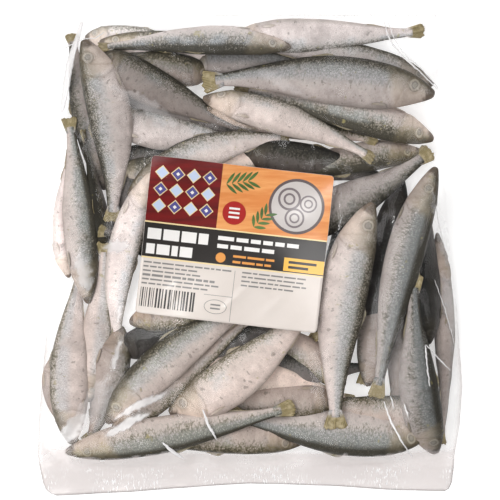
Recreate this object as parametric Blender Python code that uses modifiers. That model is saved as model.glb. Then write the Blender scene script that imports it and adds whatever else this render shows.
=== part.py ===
"""A clear sealed bag of whole frozen herring, lying on its back, with a paper label on its front.

Lengths are in millimetres until a mesh is made. The origin is the middle of the bag's footprint, on the surface
that it lies on, +Y points to the bag's top seam and +Z out of its front.
"""

from collections import namedtuple
import math

import bmesh
import bpy
import numpy as np

MM = 0.001

# The bag
BAG_WIDTH = 277.0
BAG_LENGTH = 315.0
FILM = 0.35
FOLD_HEIGHT = 7.0  # of the folds along the bag's sides
SEAM_BAND = 22.0  # the flat welded band across the foot of the bag
HEAD_BAND = 4.0  # the same at its top, mostly turned in
BAND_THICKNESS = 1.2
BAND_EDGE_HEIGHT = 1.4
BAND_RIPPLE = 0.7
BAND_RIPPLES = 7
FLATTENED = 1.5  # how far the underside is pressed flat on what the bag lies on
SLACK = 0.5  # of the film, from 0 where it is drawn tight to 1 where it clings

# The label
LABEL_SIZE = (118.0, 102.0)
LABEL_CENTRE = (-10.0, 7.0)
LABEL_TURN = math.radians(-6.5)
LABEL_CORNER = 2.5
LABEL_PAPER = 0.4
LABEL_GAP = 0.6
LABEL_CELL = 6.0
LABEL_BEND = 7  # cells over which the paper evens out what lies under it
LABEL_RIM = 4.5  # film beside the label that lies as it does

# How the herring are built and packed
THICKNESS_SHARE = 0.54  # of a herring's depth
BELLY_DROP = 0.07  # how far the body's middle sags below its spine, as a share of its depth
SQUEEZE = 4.5  # how far a herring beds into those under it
MOST_SQUEEZE = 4.0  # more than that, where the pile is uneven
COVER = 0.3  # what it rises above them all the same
STATIONS = 33
STEEPEST = 26.0  # rise from snout to tail
MOST_ARCH = 8.0
CELL = 1.5  # of the height maps
CLINGING = 50  # rounds of evening out that lay the film on the herring
TAUT = 420  # rounds that stretch it
MARGIN = 6.0

# The mesh of the bag
MESH_CELL = 3.0
FACES_KEPT = 0.21

Herring = namedtuple("Herring", "name snout middle tail depth back roll")

# Each herring's snout, middle and tail in plan, its depth, the side of its spine that its back is on (1 is the left,
# seen from the snout) and how far its back is rolled up. The lowest come first.
HERRINGS = (
    Herring("under_label_high", (-55, 27), (-6, 21), (44, 12), 26, 1, 15),
    Herring("under_label_middle", (44, -8), (-6, -6), (-58, -1), 26, 1, 20),
    Herring("under_label_low", (-65, -31), (-16, -27), (36, -23), 25, -1, 0),
    Herring("left_of_label_dark", (-91, 51), (-52, 57), (-8, 51), 22, 1, 40),
    Herring("corner_left", (-95, 42), (-109, 98), (-117, 146), 20, 1, 10),
    Herring("top_left_high", (-108, 142), (-68, 140), (-14, 127), 20, 1, -20),
    Herring("top_left_low", (-98, 138), (-42, 136), (20, 137), 22, 1, -10),
    Herring("top_right_under", (120, 111), (62, 130), (-10, 137), 22, -1, -10),
    Herring("top_right_belly", (-18, 140), (46, 142), (116, 146), 23, -1, -30),
    Herring("left_gap_dark", (-94, -5), (-99, 32), (-109, 84), 20, 1, 70),
    Herring("left_edge", (-118, -15), (-121, 26), (-114, 80), 16, -1, -40),
    Herring("left_label_tail", (-36, -5), (-66, 6), (-99, 16), 20, 1, 0),
    Herring("low_label_sliver", (-81, -66), (-55, -50), (-6, -23), 18, 1, 30),
    Herring("low_label_pink", (-79, -44), (-39, -37), (13, -27), 22, -1, 10),
    Herring("right_label_dark", (66, 39), (57, -5), (40, -58), 23, 1, 60),
    Herring("top_label_tail", (-65, 42), (-13, 58), (40, 68), 20, -1, -10),
    Herring("right_gap_pink", (77, -86), (79, -46), (88, 0), 20, 1, -40),
    Herring("right_edge", (122, 15), (127, -58), (125, -126), 21, 1, -60),
    Herring("right_dark_head", (115, -58), (114, -13), (116, 46), 21, 1, 40),
    Herring("low_middle_silver", (62, -86), (32, -63), (-6, -41), 22, 1, 0),
    Herring("low_middle_pink", (-46, -76), (12, -81), (70, -97), 23, -1, -30),
    Herring("upper_left_head", (-24, 119), (-55, 123), (-91, 131), 22, -1, 30),
    Herring("upper_left_grey", (-96, 130), (-60, 109), (3, 78), 26, 1, 10),
    Herring("upper_left_belly", (-91, 92), (-52, 81), (8, 70), 27, 1, -25),
    Herring("right_dark_low", (113, 67), (58, 60), (-6, 45), 22, 1, 30),
    Herring("right_yellow_tail", (-29, 96), (32, 85), (84, 74), 18, 1, 0),
    Herring("right_grey", (2, 8), (64, 32), (119, 69), 29, -1, 15),
    Herring("above_label", (-79, 38), (-29, 68), (28, 76), 25, 1, -10),
    Herring("left_low_silver", (-105, -96), (-99, -49), (-94, 11), 20, -1, 0),
    Herring("left_low_broad", (-116, -124), (-119, -68), (-109, -5), 25, 1, 0),
    Herring("bottom_left_grey", (-90, -115), (-51, -86), (8, -33), 22, -1, 20),
    Herring("bottom_middle_head", (34, -123), (-23, -119), (-90, -122), 24, 1, 10),
    Herring("bottom_right_long", (116, -117), (55, -117), (-18, -103), 30, 1, 10),
    Herring("bottom_right_dark", (122, -130), (110, -81), (105, -10), 26, -1, 15),
    Herring("right_red_snout", (120, 75), (62, 92), (-12, 109), 26, 1, 30),
    Herring("top_long_dark", (27, 134), (-36, 138), (-101, 133), 22, 1, 35),
    Herring("left_upper", (-107, 138), (-91, 81), (-90, 19), 28, -1, 5),
    Herring("left_lower", (-105, -32), (-110, 29), (-118, 92), 22, -1, 10),
    Herring("left_of_label", (-58, 57), (-83, -6), (-86, -74), 21, 1, -20),
    Herring("bottom_left_big", (-94, -110), (-46, -60), (23, -20), 27, 1, 10),
    Herring("bottom_middle_big", (-53, -103), (-3, -72), (47, -27), 31, 1, -5),
    Herring("bottom_left_long", (-121, -129), (-46, -116), (31, -98), 24, -1, 0),
    Herring("right_middle", (79, 34), (60, -39), (56, -116), 31, 1, 0),
    Herring("right_silver", (120, 57), (97, -16), (82, -96), 25, 1, 20),
    Herring("spotted_belly", (-31, 102), (26, 88), (83, 61), 25, 1, -35),
    Herring("top_right_large", (120, 104), (47, 116), (-34, 112), 32, -1, 0),
)

# A herring's side view and top view along its length, as shares of its greatest depth and width
ALONG = (0.0, 0.03, 0.08, 0.16, 0.26, 0.37, 0.50, 0.62, 0.74, 0.84, 0.90, 0.94, 1.0)
DEPTH_ALONG = (0.10, 0.30, 0.52, 0.77, 0.94, 1.0, 0.96, 0.81, 0.58, 0.37, 0.28, 0.36, 0.56)
WIDTH_ALONG = (0.14, 0.38, 0.66, 0.90, 1.0, 1.0, 0.93, 0.77, 0.54, 0.31, 0.18, 0.10, 0.06)

# The bag's outline: how far in from the box each side lies, along that side
LEFT_AT = (-157.0, -146.0, -131.0, -110.0, -68.0, -29.0, 36.0, 75.0, 110.0, 157.0)
LEFT_IN = (12.0, 3.0, 0.0, 0.5, 4.0, 8.0, 9.5, 13.0, 13.5, 15.5)
RIGHT_AT = (-157.0, -146.0, -133.0, -114.0, -88.0, -36.0, 26.0, 81.0, 157.0)
RIGHT_IN = (9.0, 6.0, 5.0, 1.8, 0.0, 3.5, 10.0, 14.0, 17.0)
FOOT_AT = (-126.0, -78.0, -32.0, 0.0, 52.0, 97.0, 130.0)
FOOT_IN = (0.0, 2.5, 6.0, 8.0, 6.5, 3.5, 3.0)


def smooth(share):
    """A share from 0 to 1, eased at both ends."""
    share = np.clip(share, 0.0, 1.0)
    return share * share * (3.0 - 2.0 * share)


def left_side(y):
    return -BAG_WIDTH / 2 + np.interp(y, LEFT_AT, LEFT_IN)


def right_side(y):
    return BAG_WIDTH / 2 - np.interp(y, RIGHT_AT, RIGHT_IN)


def foot_side(x):
    return -BAG_LENGTH / 2 + np.interp(x, FOOT_AT, FOOT_IN)


def axis_of_cells(length):
    half = math.ceil((length / 2 + MARGIN) / CELL)
    return np.arange(-half, half + 1) * CELL


XS = axis_of_cells(BAG_WIDTH)
YS = axis_of_cells(BAG_LENGTH)
X, Y = np.meshgrid(XS, YS)


def read(heights, x, y):
    """The height at points between the cells of a height map."""
    i = np.clip((np.asarray(x) - XS[0]) / CELL, 0, len(XS) - 1.001)
    j = np.clip((np.asarray(y) - YS[0]) / CELL, 0, len(YS) - 1.001)
    i0, j0 = i.astype(int), j.astype(int)
    fi, fj = i - i0, j - j0
    low = heights[j0, i0] * (1 - fi) + heights[j0, i0 + 1] * fi
    high = heights[j0 + 1, i0] * (1 - fi) + heights[j0 + 1, i0 + 1] * fi
    return low * (1 - fj) + high * fj


def spine(herring, t):
    """Points in plan along a herring, on the parabola through its snout, middle and tail."""
    t = np.asarray(t)[:, None]
    start, middle, end = (np.array(p, float) for p in (herring.snout, herring.middle, herring.tail))
    return start * (1 - t) * (1 - 2 * t) + middle * 4 * t * (1 - t) + end * t * (2 * t - 1)


def section(herring, t):
    """Half the depth, half the width and the sag of the body at a share t of its length."""
    half_depth = np.interp(t, ALONG, DEPTH_ALONG) * herring.depth / 2
    half_width = np.interp(t, ALONG, WIDTH_ALONG) * herring.depth * THICKNESS_SHARE / 2
    sag = BELLY_DROP * herring.depth * np.sin(np.pi * np.clip(t / 0.9, 0.0, 1.0))
    return half_depth, half_width, sag


def shadow(herring):
    """The cells that a herring covers, how far along it they are, and its top and underside from its spine."""
    points = spine(herring, np.linspace(0.0, 1.0, STATIONS))
    ahead = np.gradient(points, axis=0)
    pace = np.linalg.norm(ahead, axis=1)
    ahead /= pace[:, None]
    reach = herring.depth
    near = (
        (X > points[:, 0].min() - reach)
        & (X < points[:, 0].max() + reach)
        & (Y > points[:, 1].min() - reach)
        & (Y < points[:, 1].max() + reach)
    )
    rows, columns = np.nonzero(near)
    cells = np.stack([X[rows, columns], Y[rows, columns]], axis=1)
    away = cells[:, None, :] - points[None, :, :]
    nearest = np.argmin((away**2).sum(2), axis=1)
    offset = away[np.arange(len(cells)), nearest]
    along = (offset * ahead[nearest]).sum(1)
    left = offset[:, 1] * ahead[nearest, 0] - offset[:, 0] * ahead[nearest, 1]
    t = (nearest + along / pace[nearest]) / (STATIONS - 1)
    half_depth, half_width, sag = section(herring, t)
    roll = math.radians(herring.roll)
    cos, sin = math.cos(roll), math.sin(roll)
    across = half_depth**2 * cos**2 + half_width**2 * sin**2
    mixed = (half_depth**2 - half_width**2) * sin * cos
    upright = half_depth**2 * sin**2 + half_width**2 * cos**2
    offset_across = left * herring.back + sag * cos
    room = 1.0 - offset_across**2 / across
    inside = (room > 0.0) & (t >= 0.0) & (t <= 1.0)
    bulge = np.sqrt(np.clip(upright - mixed**2 / across, 0.0, None)) * np.sqrt(np.clip(room, 0.0, None))
    middle = mixed / across * offset_across - sag * sin
    return tuple(part[inside] for part in (rows, columns, t, middle + bulge, middle - bulge))


def resting(herring):
    """The height of a herring's spine where its body touches the back film, at each station."""
    half_depth, half_width, sag = section(herring, np.linspace(0.0, 1.0, STATIONS))
    roll = math.radians(herring.roll)
    return FILM + np.hypot(half_depth * math.sin(roll), half_width * math.cos(roll)) + sag * math.sin(roll)


def highest(t, heights):
    """The greatest of the heights at each station."""
    need = np.full(STATIONS, -np.inf)
    np.maximum.at(need, np.round(t * (STATIONS - 1)).astype(int), heights)
    return need


def settle(bedded, covering):
    """The lowest gently bent line that clears covering, and nearly clears bedded, at each station."""
    t = np.linspace(0.0, 1.0, STATIONS)
    arch = 4.0 * t * (1.0 - t)
    best = None
    for bend in np.linspace(-MOST_ARCH, MOST_ARCH, 9):
        for rise in np.linspace(-STEEPEST, STEEPEST, 53):
            line = rise * (t - 0.5) + bend * arch
            short = bedded - line
            lift = max(np.percentile(short, 85), short.max() - MOST_SQUEEZE, (covering - line).max())
            cost = (line + lift).mean() + 0.02 * abs(bend)
            if best is None or cost < best[0]:
                best = (cost, line + lift)
    return best[1]


def packed():
    """Height maps of the top and the underside of the packed herring, and the heights of their spines."""
    stations = np.linspace(0.0, 1.0, STATIONS)
    top = np.full(X.shape, FILM)
    underside = np.full(X.shape, np.inf)
    lines = []
    for herring in HERRINGS:
        rows, columns, t, up, down = shadow(herring)
        bed = top[rows, columns]
        on_fish = bed > FILM
        floor = resting(herring)
        bedded = highest(t, np.where(on_fish, bed - SQUEEZE, -np.inf) - down)
        thick = up - down > 0.7 * (highest(t, up - down))[np.round(t * (STATIONS - 1)).astype(int)]
        covering = highest(t, np.where(on_fish & thick, bed + COVER, -np.inf) - up)
        line = np.maximum(settle(np.maximum(bedded, floor), covering), floor)
        level = np.interp(t, stations, line)
        top[rows, columns] = np.maximum(bed, level + up)
        underside[rows, columns] = np.minimum(underside[rows, columns], level + down)
        lines.append(line)
    return top, np.maximum(underside, FILM), lines


def evened(heights):
    """Each cell's height as the mean of its four neighbours."""
    padded = np.pad(heights, 1, mode="edge")
    return (padded[:-2, 1:-1] + padded[2:, 1:-1] + padded[1:-1, :-2] + padded[1:-1, 2:]) / 4


def stretched(heights, held, over):
    """Film laid over what it may not cross: over(new, old) keeps it clear, and the held cells stay put."""
    film = heights.copy()
    for turn in range(TAUT):
        film = np.where(held, heights, over(evened(film), heights))
        if turn == CLINGING:
            clinging = film
    return SLACK * clinging + (1.0 - SLACK) * film


def band_share():
    """How far out on the welded bands each cell is, from 0 at the contents to 1 at the bag's foot or head."""
    welded_to = SEAM_BAND - BAG_LENGTH / 2
    foot = (welded_to - Y) / (welded_to - foot_side(X))
    head = (Y - (BAG_LENGTH / 2 - HEAD_BAND)) / HEAD_BAND
    return np.maximum(foot, head)


def mid_film():
    """Where front and back film would meet with nothing between them."""
    share = smooth(band_share())
    ripple = BAND_RIPPLE * np.sin(X / BAG_WIDTH * BAND_RIPPLES * 2 * np.pi + 1.0) * share
    return FOLD_HEIGHT + (BAND_EDGE_HEIGHT - FOLD_HEIGHT) * share + np.maximum(ripple, -0.5)


def on_label(x, y, margin=0.0):
    """Whether points in plan lie under the label."""
    across, along = to_label(x, y)
    return (np.abs(across) <= LABEL_SIZE[0] / 2 + margin) & (np.abs(along) <= LABEL_SIZE[1] / 2 + margin)


def to_label(x, y):
    dx, dy = x - LABEL_CENTRE[0], y - LABEL_CENTRE[1]
    cos, sin = math.cos(LABEL_TURN), math.sin(LABEL_TURN)
    return dx * cos + dy * sin, dy * cos - dx * sin


def from_label(across, along):
    cos, sin = math.cos(LABEL_TURN), math.sin(LABEL_TURN)
    return LABEL_CENTRE[0] + across * cos - along * sin, LABEL_CENTRE[1] + across * sin + along * cos


def blurred(heights, reach):
    """A height map evened out over a square of cells."""
    width = 2 * reach + 1
    kernel = np.ones(width) / width
    padded = np.pad(heights, reach, mode="edge")
    rows = np.apply_along_axis(lambda line: np.convolve(line, kernel, "valid"), 1, padded)
    return np.apply_along_axis(lambda line: np.convolve(line, kernel, "valid"), 0, rows)


def paper(front, top):
    """The label's underside: stiff paper that lies on the highest of what is under it."""
    sheet = front.copy()
    for _ in range(6):
        sheet = np.maximum(blurred(sheet, LABEL_BEND), front)
    sheet = blurred(blurred(sheet, LABEL_BEND), 2)
    under = on_label(X, Y, LABEL_RIM)
    return sheet + max(0.0, (top - sheet)[under].max()) + LABEL_GAP


def films():
    """Height maps of the bag's front, its back and the label's underside."""
    top, underside, _ = packed()
    middle = mid_film()
    held = (X < left_side(Y)) | (X > right_side(Y)) | (band_share() > 0.0)
    clear_of = np.where(held, middle, top + FILM)
    front = stretched(clear_of, held, np.maximum)
    label = paper(front, top + FILM)
    under = on_label(X, Y, LABEL_RIM)
    clear_of = np.where(under, label - LABEL_GAP, clear_of)
    front = stretched(clear_of, held | under, np.maximum)
    below = np.where(np.isfinite(underside), underside - FILM, front - BAND_THICKNESS)
    back = stretched(np.where(held, middle, below), held, np.minimum)
    back = np.where(held, back, np.maximum(back - FLATTENED, 0.0))
    return front, back, label


def material(name, colour, roughness):
    made = bpy.data.materials.new(name)
    made.use_nodes = True
    shader = made.node_tree.nodes["Principled BSDF"]
    shader.inputs["Base Color"].default_value = (*colour, 1.0)
    shader.inputs["Roughness"].default_value = roughness
    return made


def add(collection, name, mesh_of, made_of):
    """An object whose mesh is filled by mesh_of, in metres."""
    shape = bmesh.new()
    mesh_of(shape)
    bmesh.ops.scale(shape, vec=(MM, MM, MM), verts=shape.verts)
    bmesh.ops.recalc_face_normals(shape, faces=shape.faces)
    mesh = bpy.data.meshes.new(name)
    shape.to_mesh(mesh)
    shape.free()
    mesh.materials.append(made_of)
    made = bpy.data.objects.new(name, mesh)
    collection.objects.link(made)
    return made


def bag_shape(shape, front, back):
    """A sheet of cells laid into the bag's outline, doubled into a front and a back."""
    columns = round(BAG_WIDTH / MESH_CELL)
    rows = round(BAG_LENGTH / MESH_CELL)
    sheet = bmesh.ops.create_grid(shape, x_segments=columns, y_segments=rows, size=0.5)
    lower = list(sheet["verts"])
    risen = bmesh.ops.extrude_face_region(shape, geom=list(shape.faces))
    upper = [v for v in risen["geom"] if isinstance(v, bmesh.types.BMVert)]
    for verts, heights in ((lower, back), (upper, front)):
        for vert in verts:
            u, v = vert.co.x + 0.5, vert.co.y + 0.5
            level = -BAG_LENGTH / 2 + v * BAG_LENGTH
            x = left_side(level) + u * (right_side(level) - left_side(level))
            y = foot_side(x) + v * (BAG_LENGTH / 2 - foot_side(x))
            vert.co = (float(x), float(y), float(read(heights, x, y)))
    for vert, low in zip(upper, lower):
        vert.co.z = max(vert.co.z, low.co.z + BAND_THICKNESS)


def label_shape(shape, label):
    """A sheet of cells with rounded corners that follows what the label lies on."""
    columns = round(LABEL_SIZE[0] / LABEL_CELL)
    rows = round(LABEL_SIZE[1] / LABEL_CELL)
    sheet = bmesh.ops.create_grid(shape, x_segments=columns, y_segments=rows, size=0.5)
    for vert in sheet["verts"]:
        across, along = vert.co.x * LABEL_SIZE[0], vert.co.y * LABEL_SIZE[1]
        centre = [
            math.copysign(size / 2 - LABEL_CORNER, p) for size, p in zip(LABEL_SIZE, (across, along))
        ]
        beyond = [(p - c) * math.copysign(1, p) for p, c in zip((across, along), centre)]
        if min(beyond) > 0.0:
            pull = min(1.0, LABEL_CORNER / math.hypot(*beyond))
            across = centre[0] + (across - centre[0]) * pull
            along = centre[1] + (along - centre[1]) * pull
        x, y = from_label(across, along)
        vert.co = (x, y, float(read(label, x, y)))


def build():
    for thing in list(bpy.data.objects):
        bpy.data.objects.remove(thing, do_unlink=True)
    pack = bpy.data.collections.new("bag_of_herring")
    bpy.context.scene.collection.children.link(pack)
    front, back, label = films()
    film = material("clear_film", (0.72, 0.71, 0.70), 0.15)
    paper_white = material("label_paper", (0.80, 0.77, 0.73), 0.45)

    bag = add(pack, "bag", lambda shape: bag_shape(shape, front, back), film)
    fewer = bag.modifiers.new("fewer_faces", "DECIMATE")
    fewer.ratio = FACES_KEPT

    sticker = add(pack, "label", lambda shape: label_shape(shape, label), paper_white)
    sheet = sticker.modifiers.new("paper", "SOLIDIFY")
    sheet.thickness = LABEL_PAPER * MM
    sheet.offset = 1.0


build()
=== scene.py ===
"""The looks of a clear sealed bag of whole frozen herring with a paper label on its front.

Lengths are in millimetres until a mesh is made. The bag lies on its back, +Y points to its head and +Z out
of its front.
"""

from collections import namedtuple
import math

import bpy
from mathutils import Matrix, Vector, noise
from mathutils.bvhtree import BVHTree
import numpy as np


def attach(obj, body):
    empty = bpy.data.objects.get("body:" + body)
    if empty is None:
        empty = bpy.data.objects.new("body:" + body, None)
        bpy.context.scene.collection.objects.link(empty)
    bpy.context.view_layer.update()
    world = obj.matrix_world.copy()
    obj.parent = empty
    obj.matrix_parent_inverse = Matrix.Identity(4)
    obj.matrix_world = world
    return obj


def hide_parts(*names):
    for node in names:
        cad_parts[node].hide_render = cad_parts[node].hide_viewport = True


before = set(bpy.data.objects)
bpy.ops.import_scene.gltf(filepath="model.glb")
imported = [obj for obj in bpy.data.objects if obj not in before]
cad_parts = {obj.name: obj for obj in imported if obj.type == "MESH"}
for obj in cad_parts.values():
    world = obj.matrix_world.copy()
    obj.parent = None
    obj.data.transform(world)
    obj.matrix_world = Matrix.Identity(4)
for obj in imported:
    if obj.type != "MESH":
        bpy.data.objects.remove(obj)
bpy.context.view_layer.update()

MM = 0.001

# The bag
BAG_WIDTH = 277
BAG_LENGTH = 315
FILM = 0.35
FOLD_HEIGHT = 7  # of the folds along the bag's sides
SEAM_BAND = 22  # the flat welded band across the foot of the bag
HEAD_BAND = 4  # the same at its top, mostly turned in
BAND_THICKNESS = 1.2
BAND_EDGE_HEIGHT = 1.4
BAND_RIPPLE = 0.7
BAND_RIPPLES = 7
FLATTENED = 1.5  # how far the underside is pressed flat on what the bag lies on
SLACK = 0.5  # of the film, from 0 where it is drawn tight to 1 where it clings

# The label
LABEL_SIZE = (118, 102)
LABEL_CENTRE = (-10, 7)
LABEL_TURN = math.radians(-6.5)
LABEL_CORNER = 2.5
LABEL_PAPER = 0.4
LABEL_SHEET = 0.28  # how thick its sheet is drawn
LABEL_GAP = 0.6
LABEL_BEND = 7  # cells over which the paper evens out what lies under it
LABEL_ROUNDS = 6  # of evening out
LABEL_RIM = 4.5  # film beside the label that lies as it does

# How the herring are built and packed
THICKNESS_SHARE = 0.54  # of a herring's depth
BELLY_DROP = 0.07  # how far the body's middle sags below its spine, as a share of its depth
SQUEEZE = 4.5  # how far a herring beds into those under it
MOST_SQUEEZE = 4  # more than that, where the pile is uneven
COVER = 0.3  # what it rises above them all the same
STATIONS = 33
SHARES = np.linspace(0, 1, STATIONS)
STEEPEST = 26  # rise from snout to tail
MOST_ARCH = 8
ARCH_COST = 0.02
BEDDED_SHARE = 85  # per cent of a herring's stations that don't sink deeper than it beds
LINE_BEND = 3  # stations over which the drawn herring's line is evened out
CELL = 1.5  # of the height maps
CLINGING = 50  # rounds of evening out that lay the film on the herring
TAUT = 420  # rounds that stretch it
MARGIN = 6

# PLAIN's low tone darkens herring that hardly show, as painted shade deep in the pile
PLAIN = (0.6, 0.3, 0.4, 0.2)  # the colours of herring that hardly show
Herring = namedtuple(
    "Herring", "name snout middle tail depth back roll dark tone warm silver", defaults=PLAIN
)

# Each herring's snout, middle and tail in plan, its depth, the side of its spine that its back is on (1 is
# the left, seen from the snout), how far its back is rolled up, and its colours: how far the dark of the back
# comes down it, how pale, how warm and how silvery it is, which sets its painted sheen and glints. The lowest
# come first.
HERRINGS = [Herring(*row) for row in (
    ("under_label_high", (-55, 27), (-6, 21), (44, 12), 26, 1, 15),
    ("under_label_middle", (44, -8), (-6, -6), (-58, -1), 26, 1, 20),
    ("under_label_low", (-65, -31), (-16, -27), (36, -23), 25, -1, 0),
    ("left_of_label_dark", (-91, 51), (-52, 57), (-8, 51), 22, 1, 40, 0.5, 1.4, 0.2, 0),
    ("corner_left", (-95, 42), (-109, 98), (-117, 146), 20, 1, 10, 0.4, 0.7, 0.5, 0),
    ("top_left_high", (-108, 142), (-68, 140), (-14, 127), 20, 1, -20, 0.2, 1.9, 0, 0),
    ("top_left_low", (-98, 138), (-42, 136), (20, 137), 22, 1, -10, 0.5, 1.7, 0.3, 0),
    ("top_right_under", (120, 111), (62, 130), (-10, 137), 22, -1, -10, 0.3, 0.85, 0.2, 0),
    ("top_right_belly", (-18, 140), (46, 142), (116, 146), 23, -1, -30, 0.2, 1.3, 0, 0),
    ("left_gap_dark", (-94, -5), (-99, 32), (-109, 84), 20, 1, 70, 0.8, 0.4, 1, 0),
    ("left_edge", (-118, -15), (-121, 26), (-114, 80), 16, -1, -40, 0, 2.1, 0, 0),
    ("left_label_tail", (-36, -5), (-66, 6), (-99, 16), 20, 1, 0),
    ("low_label_sliver", (-81, -66), (-55, -50), (-6, -23), 18, 1, 30, 0.6, 0.18, 0.8, 0.3),
    ("low_label_pink", (-79, -44), (-39, -37), (13, -27), 22, -1, 10, 0.3, 1, 1, 0),
    ("right_label_dark", (66, 39), (57, -5), (40, -58), 23, 1, 60, 0.8, 0.03, 0.5, 0),
    ("top_label_tail", (-65, 42), (-13, 58), (40, 68), 20, -1, -10, 0.3, 1.7, 0.9, 0),
    ("right_gap_pink", (77, -86), (79, -46), (88, 0), 20, 1, -40, 0.3, 0.6, 0.8, 0),
    ("right_edge", (122, 15), (127, -58), (125, -126), 21, 1, -60, 0.4, 0.65, 0.7, 0.2),
    ("right_dark_head", (115, -58), (114, -13), (116, 46), 21, 1, 40, 0.9, 0.06, 1, 0.3),
    ("low_middle_silver", (62, -86), (32, -63), (-6, -41), 22, 1, 0, 0.4, 1, 1, 0.5),
    ("low_middle_pink", (-46, -76), (12, -81), (70, -97), 23, -1, -30, 0.2, 1.45, 1, 0),
    ("upper_left_head", (-24, 119), (-55, 123), (-91, 131), 22, -1, 30, 0.4, 0.6, 0.9, 0.2),
    ("upper_left_grey", (-96, 130), (-60, 109), (3, 78), 26, 1, 10, 0.4, 0.5, 0.6, 0.2),
    ("upper_left_belly", (-91, 92), (-52, 81), (8, 70), 27, 1, -25, 0.3, 1.05, 0.2, 0.2),
    ("right_dark_low", (113, 67), (58, 60), (-6, 45), 22, 1, 30, 0.75, 0.9, 0.7, 0),
    ("right_yellow_tail", (-29, 96), (32, 85), (84, 74), 18, 1, 0, 0.8, 1.25, 1, 0),
    ("right_grey", (2, 8), (64, 32), (119, 69), 29, -1, 15, 0.55, 0.65, 0.4, 0.1),
    ("above_label", (-79, 38), (-29, 68), (28, 76), 25, 1, -10, 0.3, 1.1, 0.4, 0.2),
    ("left_low_silver", (-105, -96), (-99, -49), (-94, 11), 20, -1, 0, 0, 1.1, 0.6, 1),
    ("left_low_broad", (-116, -124), (-119, -68), (-109, -5), 25, 1, 0, 0, 1.1, 0.5, 0.8),
    ("bottom_left_grey", (-90, -115), (-51, -86), (8, -33), 22, -1, 20, 0.1, 0.75, 1, 0.4),
    ("bottom_middle_head", (34, -123), (-23, -119), (-90, -122), 24, 1, 10, 0.3, 0.85, 1, 0.1),
    ("bottom_right_long", (116, -117), (55, -117), (-18, -103), 30, 1, 10, 0.9, 1, 0.4, 1),
    ("bottom_right_dark", (122, -130), (110, -81), (105, -10), 26, -1, 15, 1.1, 0.65, 0.3, 1),
    ("right_red_snout", (120, 75), (62, 92), (-12, 109), 26, 1, 30, 0.7, 1.2, 0.4, 0.2),
    ("top_long_dark", (27, 134), (-36, 138), (-101, 133), 22, 1, 35, 0.75, 1.2, 0.1, 0.2),
    ("left_upper", (-107, 138), (-91, 81), (-90, 19), 28, -1, 5, 0.4, 0.95, 0.3, 0.3),
    ("left_lower", (-105, -32), (-110, 29), (-118, 92), 22, -1, 10, 0.75, 1, 0.4, 0.6),
    ("left_of_label", (-58, 57), (-83, -6), (-86, -74), 21, 1, -20, 0, 1.55, 0.2, 0.2),
    ("bottom_left_big", (-94, -110), (-46, -60), (23, -20), 27, 1, 10, 0.6, 1.1, 0.6, 0.8),
    ("bottom_middle_big", (-53, -103), (-3, -72), (47, -27), 31, 1, -5, 0.05, 1.25, 0.7, 0.1),
    ("bottom_left_long", (-121, -129), (-46, -116), (31, -98), 24, -1, 0, 1, 1, 0.6, 1),
    ("right_middle", (79, 34), (60, -39), (56, -116), 31, 1, 0, 0.45, 1.1, 0.4, 0.8),
    ("right_silver", (120, 57), (97, -16), (82, -96), 25, 1, 20, 1, 0.8, 0.3, 1),
    ("spotted_belly", (-31, 102), (26, 88), (83, 61), 25, 1, -35, 0.35, 1.2, 0.5, 0.1),
    ("top_right_large", (120, 104), (47, 116), (-34, 112), 32, -1, 0, 0.55, 0.8, 0.3, 1),
)]

# Herring deeper in the bag, which show only between the others, their darker tones painting the shade there
DEEPER = [Herring(*row) for row in (
    ("deep_top", (-48, 124), (0, 127), (52, 123), 20, 1, 0, 0.6, 0.6, 0.3, 1),
    ("deep_upper_left", (-92, 104), (-48, 96), (-2, 74), 18, 1, 0),
    ("deep_label_left", (-95, 60), (-50, 63), (12, 50), 20, 1, 0),
    ("deep_label_right", (-14, 68), (44, 61), (98, 46), 24, 1, 20, 0.6, 0.2, 0.8, 0),
    ("deep_left_upper", (-76, 66), (-80, 30), (-90, -20), 20, 1, 0),
    ("deep_right_middle", (100, 50), (86, -18), (74, -88), 24, 1, 20, 0.8, 0.07, 0.6, 0),
    ("deep_right_low", (105, -24), (102, -68), (94, -122), 24, 1, 0, 0.5, 0.5, 0.9, 0.5),
    ("deep_low_right", (124, -98), (80, -101), (26, -94), 22, -1, 0, 0.3, 0.85, 1, 0),
    ("deep_left_low", (-84, -46), (-92, -86), (-106, -124), 24, 1, 0, 0.3, 0.7, 0.8, 0.5),
    ("deep_low_middle", (60, -95), (14, -97), (-42, -96), 22, 1, 0, 0.3, 0.75, 1, 0),
    ("deep_low_silver", (-4, -66), (36, -74), (84, -72), 20, 1, 0),
    ("deep_label_low", (-88, -62), (-52, -52), (-4, -50), 22, 1, 0, 0.8, 0.1, 0.5, 0),
    ("deep_label_middle", (-34, -68), (-6, -56), (40, -30), 20, 1, 0),
    ("deep_left_foot", (-126, -64), (-125, -94), (-112, -126), 16, 1, 0, 0.3, 0.95, 0.8, 0.3),
)]
DEEPER_RISE = 1.5  # above the back film
TAIL_LIFTS = {"bottom_left_long": 6}  # how far a tail that lies on its neighbours is lifted clear of them

# A herring's side view and top view along its length, as shares of its greatest depth and width
ALONG = (0, 0.03, 0.08, 0.16, 0.26, 0.37, 0.5, 0.62, 0.74, 0.84, 0.9, 0.94, 1)
DEPTH_ALONG = (0.1, 0.3, 0.52, 0.77, 0.94, 1, 0.96, 0.81, 0.58, 0.37, 0.28, 0.36, 0.56)
WIDTH_ALONG = (0.14, 0.38, 0.66, 0.9, 1, 1, 0.93, 0.77, 0.54, 0.31, 0.18, 0.1, 0.06)

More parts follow.
